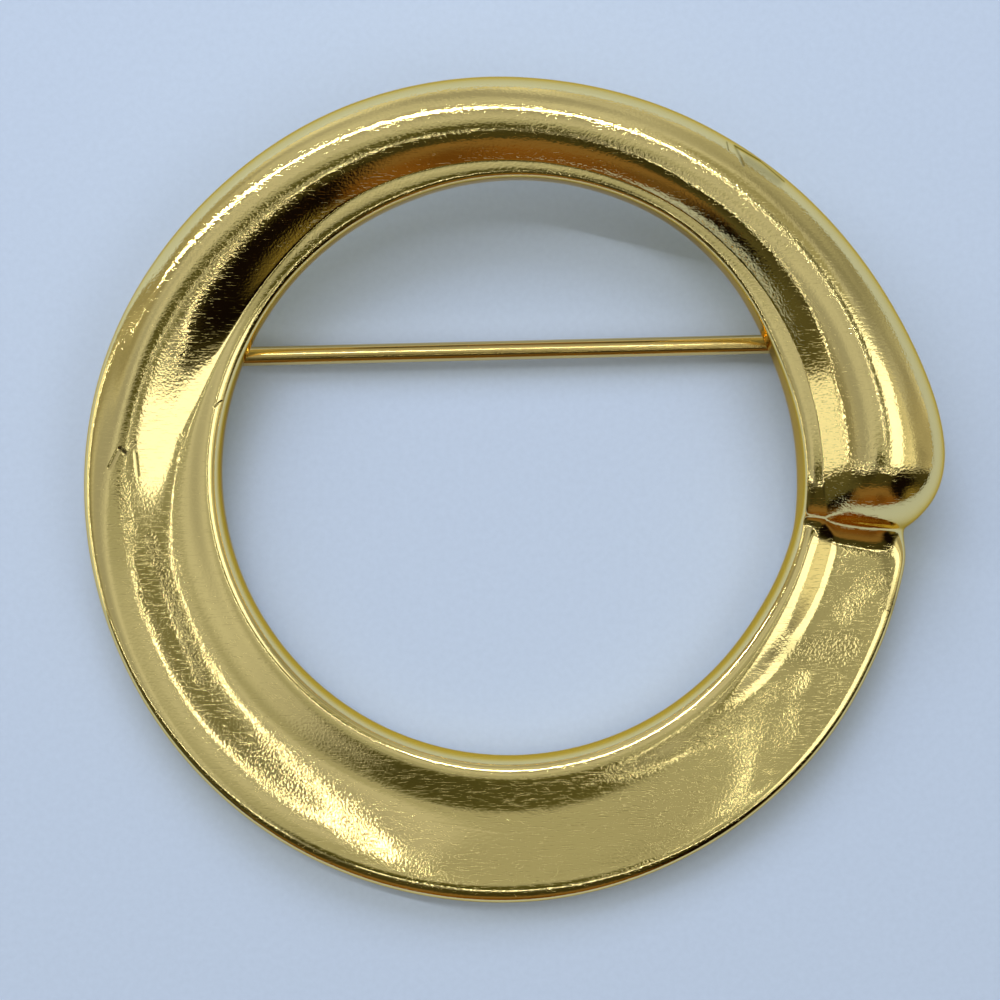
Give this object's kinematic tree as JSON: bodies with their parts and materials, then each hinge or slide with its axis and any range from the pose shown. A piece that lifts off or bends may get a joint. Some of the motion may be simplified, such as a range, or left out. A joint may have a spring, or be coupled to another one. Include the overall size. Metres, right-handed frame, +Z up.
{
  "type": "circle brooch",
  "caption": "Polished gold-plated open circle brooch: a domed round tube that turns over into a dished ribbon and ends under the dome, with a hinged pin stem behind.",
  "frame": {"origin": "on the table under the middle of the brooch, as it lies front up", "axes": "+Z up and out of the brooch's front, +Y towards the top of the brooch as it is worn, +X towards the domed end"},
  "size_m": [0.0478, 0.0462, 0.0085],
  "materials": {
    "gold_plate": "polished gold plate, lightly scratched",
    "rivet": "plated wire",
    "stem_wire": "drawn and plated wire"
  },
  "bodies": {
    "ring": {"ring_body": "gold_plate", "hinge_rivet": "rivet"},
    "stem": {"pin_stem": "stem_wire"}
  },
  "joints": [
    {"name": "stem_hinge", "type": "hinge", "parent": "ring", "child": "stem", "pos_m": [-0.01916, 0.00791, 0.00118], "axis": [-0.0236, 0.9959, 0.0871], "range_deg": [0, 100]}
  ]
}
